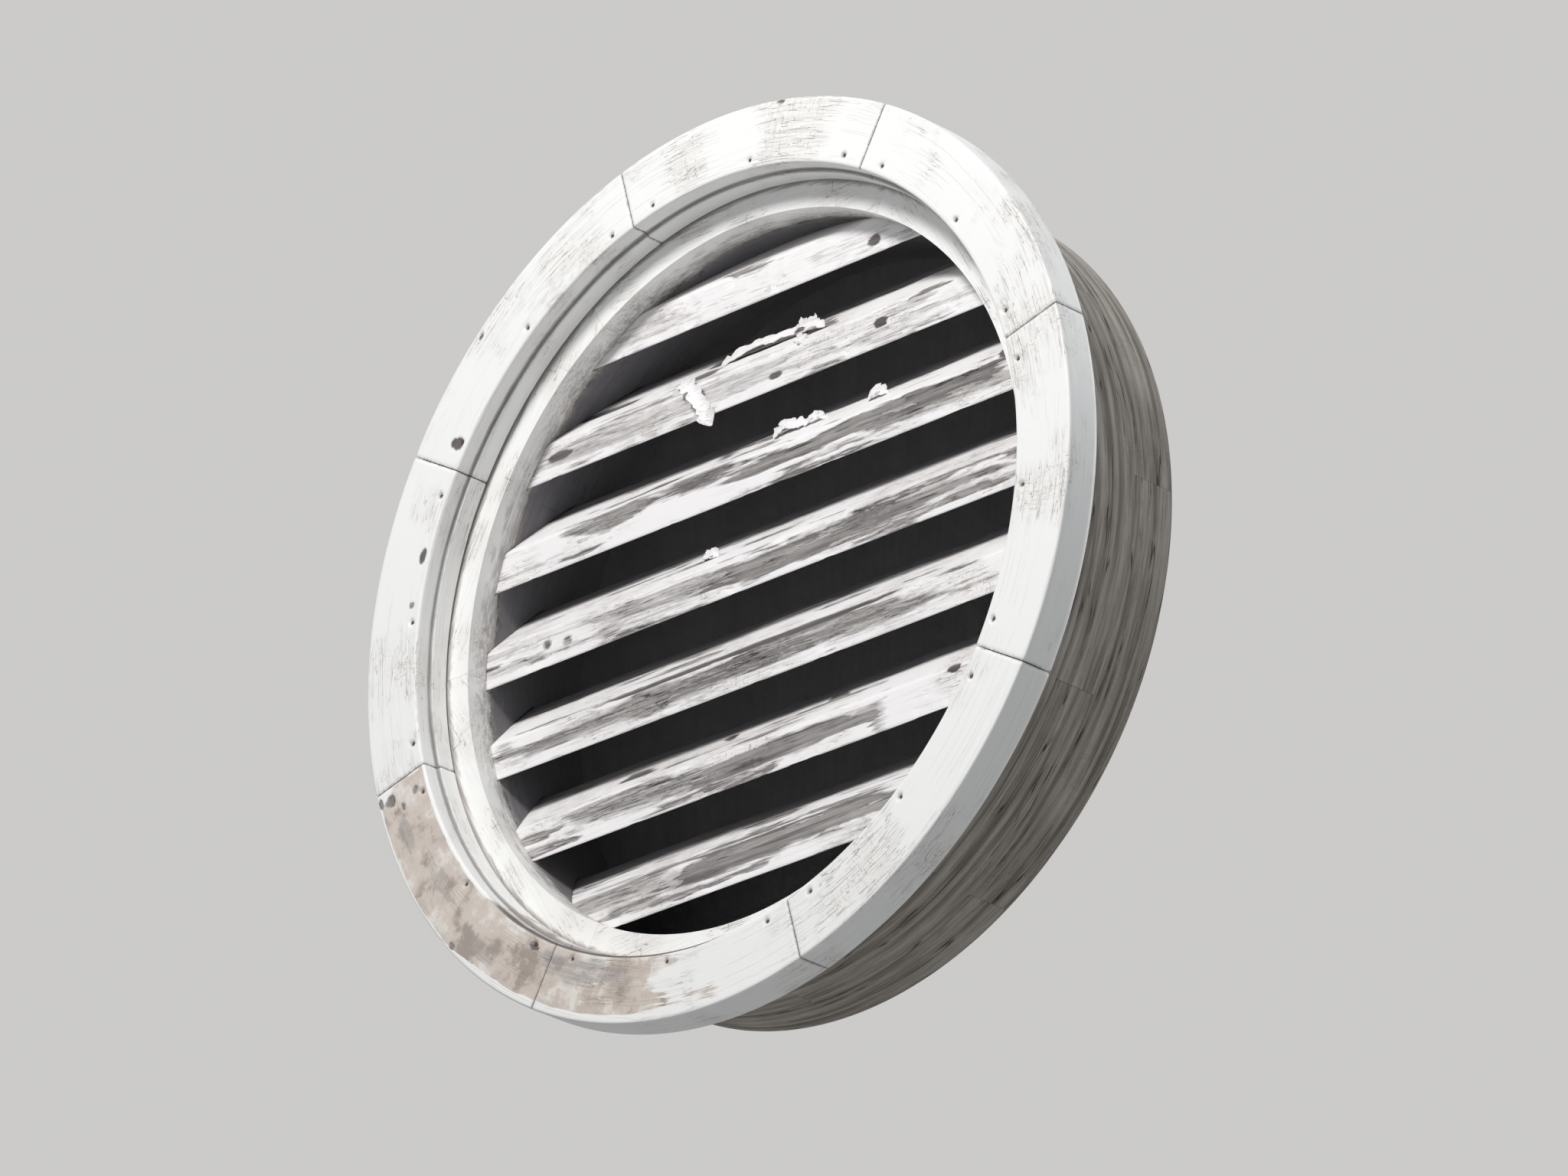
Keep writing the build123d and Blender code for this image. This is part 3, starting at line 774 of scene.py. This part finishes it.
def make_casing(number, material):
    """A sector of the casing: its section is carried round the arc, less the wear and the nails' dimples."""
    outline = softened(casing_outline(), 1)
    into = inward(outline)
    half_gap = CASING_JOINT / (CASING_INNER + CASING_OUTER)
    start = CASING_FIRST_JOINT + number * CASING_SWEEP
    angle = np.linspace(start + half_gap, start + CASING_SWEEP - half_gap, CASING_STEPS)[:, None]
    radius = np.broadcast_to(outline[:, 0], (len(angle), len(outline)))
    deep = np.broadcast_to(outline[:, 1], radius.shape)
    along = angle * CASING_MIDDLE
    turn = np.broadcast_to(np.degrees(angle), radius.shape)
    turn = np.where(turn > 360, turn - 360, turn)

    place = np.stack([np.broadcast_to(along, radius.shape), deep, radius], axis=-1)
    wobble = (rough_noise(place * (60, 160, 160), CASING_SEEDS["wobble"] + number) - 0.5) * 1.5
    bare, dirt, hollow_shade = mark_field(turn, radius / MM, CASING_MARKS, wobble)
    broad = rough_noise(place * (9, 30, 30), CASING_SEEDS["broad"] + number)
    dirt = np.maximum(dirt, 0.3 * ramp(broad, 0.5, 0.8))

    # The beige stretch starts at a jagged edge and fades out, with the top coat left along its arrises,
    # but in the low part only along the outer one
    jagged = (rough_noise(place * 90, CASING_SEEDS["jagged"] + number) - 0.5) * 5
    fade = ramp(turn - jagged - (broad - 0.5) * 50, STAIN_END, STAIN_END - 24)
    stain = ramp(turn + jagged, STAIN_START - 0.4, STAIN_START + 0.4) * fade
    lower = ramp(turn, LOW_START, LOW_START + 8) * ramp(turn, LOW_END, LOW_END - 10)
    rim = np.minimum(CASING_OUTER - radius - 3.5 * MM * lower, radius - CASING_INNER + 6 * MM * lower)
    stain = stain * ramp(rim + jagged * 0.4 * MM, 1.5 * MM, 4.5 * MM)

    # Low down the inner arris is bare with a painted shadow line of the gap to the ring, and all round dirt
    # and painted shade lie in the corner of the step
    from_face = CASING_THICKNESS + deep
    gap_shadow_line = lower * ramp(radius - CASING_INNER, 2.4 * MM, 1.2 * MM) * ramp(from_face, 7 * MM, 2 * MM)
    bare = np.maximum(bare, gap_shadow_line)
    from_step = np.hypot(radius - CASING_INNER, deep - CASING_STEP_HEIGHT + CASING_THICKNESS)
    corner = ramp(from_step, 3.5 * MM, 0.5 * MM)
    dirt = np.maximum(dirt, 0.9 * corner)
    shade = corner * 0.55
    hollow_shade = np.maximum(hollow_shade, gap_shadow_line * 0.75)

    # How deep the wear goes, with the joints eased and a dimple at each nail
    end = np.minimum(angle - angle[0], angle[-1] - angle) * radius
    joint = ramp(end, 1.6 * MM, 0.2 * MM)
    depth = rough_noise(place * (25, 260, 260), CASING_SEEDS["grain"] + number, 3) * 0.15 * MM
    depth = depth + ramp(bare + wobble * 0.35, 0.4, 0.6) * PAINT_THICKNESS + joint * 0.7 * MM
    for nail in (CASING_NAIL_MARGIN, CASING_SWEEP / 2, CASING_SWEEP - CASING_NAIL_MARGIN):
        middle = start + nail
        away = np.hypot(radius * np.cos(angle) - CASING_NAIL_CIRCLE * cos(middle),
                        radius * np.sin(angle) - CASING_NAIL_CIRCLE * sin(middle))
        near = ramp(away, DIMPLE_RADIUS, 1.2 * MM) * ramp(from_face, 4 * MM, 1 * MM)
        depth = depth + near * DIMPLE_DEPTH
        dirt = np.maximum(dirt, near)
    dirt = np.maximum(dirt, joint * 0.8)

    worn_radius = radius + into[None, :, 0] * depth
    worn_deep = deep + into[None, :, 1] * depth
    points = np.stack([worn_radius * np.cos(angle), worn_deep, worn_radius * np.sin(angle)], axis=-1)
    fields = {"bare": bare, "dirt": dirt, "stain": stain, "shade": shade, "hollow_shade": hollow_shade}
    casing = swept_piece(f"worn_casing_{number + 1}", points, fields, material)
    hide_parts(f"casing_{number + 1}")


def make_flake(number, first, second, lift, width, material):
    """A curl of loose paint: a thin strip, cupped across, that runs along an arc.

    The arc goes from the first end to the second, drawn towards a point between them that the lift moves.
    """
    share = np.linspace(0, 1, FLAKE_STEPS)[:, None]
    start, finish = np.array(first) * MM, np.array(second) * MM
    seed = FLAKE_SEED + number
    bend = start * 0.6 + finish * 0.4 + np.array(lift) * MM
    path = start * (1 - share) ** 2 + 2 * bend * share * (1 - share) + finish * share ** 2
    uneven = rough_noise(np.concatenate([share * 7, share * 0, share * 0], axis=1), seed + 50) - 0.5
    path[:, 2] += uneven * share[:, 0] * (1 - share[:, 0]) * 22 * MM
    heading = np.gradient(path, axis=0)
    heading /= np.linalg.norm(heading, axis=1, keepdims=True)
    sideways = np.cross(heading, FLAKE_FACING)
    sideways /= np.linalg.norm(sideways, axis=1, keepdims=True)
    facing = np.cross(sideways, heading)
    ragged = rough_noise(np.concatenate([share * 12, share * 0, share * 0], axis=1), seed)[:, None, None]
    taper = np.sqrt(np.clip(share * (1 - share) * 9, 0.02, 1))[:, :, None]
    half = width * MM / 2 * (0.15 + 1.3 * ragged) * taper
    columns = np.linspace(-1, 1, FLAKE_COLUMNS)
    side = np.concatenate([columns, -columns])[None, :, None]
    skin = np.repeat([0.5, -0.5], FLAKE_COLUMNS)[None, :, None] * 0.4 * MM
    cup = side ** 2 * half * 0.35
    rings = path[:, None] + sideways[:, None] * side * half + facing[:, None] * (skin + cup)
    zero = np.zeros(rings.shape[:2])
    fields = {"bare": zero, "dirt": zero + 0.25, "stain": zero, "shade": zero, "hollow_shade": zero}
    swept_piece(f"paint_flake_{number + 1}", rings, fields, material)


def make_screen(material):
    """The screen: a thin disc that ripples gently inside the rim that its stops hold."""
    share = np.linspace(0.004, 1, SCREEN_RINGS)[:, None]
    angle = np.linspace(0, 2 * pi, SCREEN_SPOKES, endpoint=False)[None, :]
    x = SCREEN_RADIUS * share * np.cos(angle)
    z = SCREEN_RADIUS * share * np.sin(angle)
    place = np.stack([x * 9, np.zeros(x.shape), z * 9], axis=-1)
    free = ramp(share * SCREEN_RADIUS, OPENING_RADIUS - 5 * MM, 0.6 * OPENING_RADIUS)
    ripple = (rough_noise(place, SCREEN_SEED, 3) - 0.5) * 1.6 * MM * free
    front = np.stack([x, SCREEN_FRONT + ripple, z], axis=-1)
    back = front + np.array([0, SCREEN_THICKNESS, 0])
    # The front, the weather side, takes the paler colours of dust and painted light
    fields = {"dusty_lit_side": np.concatenate([np.ones(x.shape), np.zeros(x.shape)])}
    screen = swept_piece("woven_screen", np.concatenate([front, back[::-1]]), fields, material)
    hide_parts("insect_screen")


def dress(node, material):
    """Gives a CAD node this material."""
    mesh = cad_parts[node].data
    mesh.materials.clear()
    mesh.materials.append(material)


def seen_from(azimuth, elevation):
    """The direction from the window to a viewer, where azimuth 0 is straight in front."""
    turn, lift = radians(azimuth), radians(elevation)
    return Vector((sin(turn) * cos(lift), -cos(turn) * cos(lift), sin(lift)))


def add_light(name, azimuth, elevation, distance, size, power, tint):
    """A square area light, placed in degrees and metres, that looks at the middle of the ring's front."""
    lamp = bpy.data.lights.new(name, "AREA")
    lamp.size = size
    lamp.energy = power
    lamp.color = tint
    light = bpy.data.objects.new(name, lamp)
    light.location = seen_from(azimuth, elevation) * distance
    light.rotation_euler = (-light.location).to_track_quat("-Z", "Y").to_euler()
    bpy.context.scene.collection.objects.link(light)


# Materials
bare_wood = make_bare_wood()
worn_paint = make_worn_paint(bare_wood)
slat_paint = painted_material("slat_paint_worn", worn_paint, object_place, colour(246, 244, 244))
casing_paint = painted_material("casing_paint_worn", worn_paint, curved_vector, colour(247, 247, 245))
nail_steel = nail_material()

# The pieces with their wear
for row in range(SLAT_COUNT):
    make_slat(row, slat_paint)
for number in range(CASING_COUNT):
    make_casing(number, casing_paint)
make_screen(screen_material())
for number, (first, second, lift, width) in enumerate(FLAKES):
    make_flake(number, first, second, lift, width, slat_paint)

# The CAD nodes that keep their form
for layer_name, first_joint in (("front", 0.0), ("middle", RING_SWEEP / 2), ("back", 0.0)):
    for number in range(RING_SECTORS):
        middle = first_joint + (number + 0.5) * RING_SWEEP
        node = f"ring_{layer_name}_{number + 1}"
        dress(node, ring_material(worn_paint, middle + pi / 2, f"{node}_wood"))
for number in range(RING_SECTORS):
    middle = (number + 1) * RING_SWEEP
    node = f"screen_stop_{number + 1}"
    dress(node, stop_material(bare_wood, middle + pi / 2, f"{node}_wood"))
dress("casing_nails", nail_steel)
dress("stop_nails", nail_steel)

# The floor, a pale surround that the camera sees, and soft light from the photograph's side
FLOOR_LEVEL = -7.6
FLOOR_HALF = 40.0
corner_signs = ((-1, -1), (1, -1), (1, 1), (-1, 1))
floor_corners = [(x * FLOOR_HALF, y * FLOOR_HALF, FLOOR_LEVEL) for x, y in corner_signs]
floor_mesh = bpy.data.meshes.new("floor")
floor_mesh.from_pydata(floor_corners, [], [(0, 1, 2, 3)])
floor_mesh.materials.append(floor_material())
floor = bpy.data.objects.new("floor", floor_mesh)
bpy.context.scene.collection.objects.link(floor)

world = bpy.data.worlds.new("studio")
world.use_nodes = True
bpy.context.scene.world = world
sky = Nodes(world.node_tree)
world.node_tree.nodes.clear()
lit = sky.add("ShaderNodeBackground", {"Color": (0.93, 0.96, 1.0, 1.0), "Strength": 0.35}).outputs[0]
shown = sky.add("ShaderNodeBackground", {"Color": (0.60, 0.595, 0.585, 1.0), "Strength": 1.0}).outputs[0]
both = sky.add("ShaderNodeMixShader", {0: shown_rays(sky), 1: lit, 2: shown}).outputs[0]
sky.add("ShaderNodeOutputWorld", {"Surface": both})

add_light("key", 11, 37, distance=3.0, size=0.7, power=71, tint=(1.0, 0.99, 0.98))
add_light("bounce", 38, -34, distance=3.5, size=2.0, power=10, tint=(1.0, 1.0, 1.0))
add_light("back_fill", 160, 25, distance=3.5, size=2.0, power=60, tint=(0.95, 0.97, 1.0))
bpy.context.scene.view_settings.view_transform = "Standard"

# The camera, at the photograph's viewing angle, with a long lens
CAMERA_DISTANCE = 7.2
CAMERA_AZIMUTH = 43.4
CAMERA_ELEVATION = -24.2
SENSOR_WIDTH = 36.0
LENS_LENGTH = 235.0
lens = bpy.data.cameras.new("camera")
lens.sensor_width = SENSOR_WIDTH
lens.lens = LENS_LENGTH
lens.clip_end = 60.0
camera = bpy.data.objects.new("camera", lens)
target = (Vector(cad_box[0]) + Vector(cad_box[1])) / 2
camera.location = target + seen_from(CAMERA_AZIMUTH, CAMERA_ELEVATION) * CAMERA_DISTANCE
camera.rotation_euler = (target - camera.location).to_track_quat("-Z", "Y").to_euler()
bpy.context.scene.collection.objects.link(camera)
bpy.context.scene.camera = camera
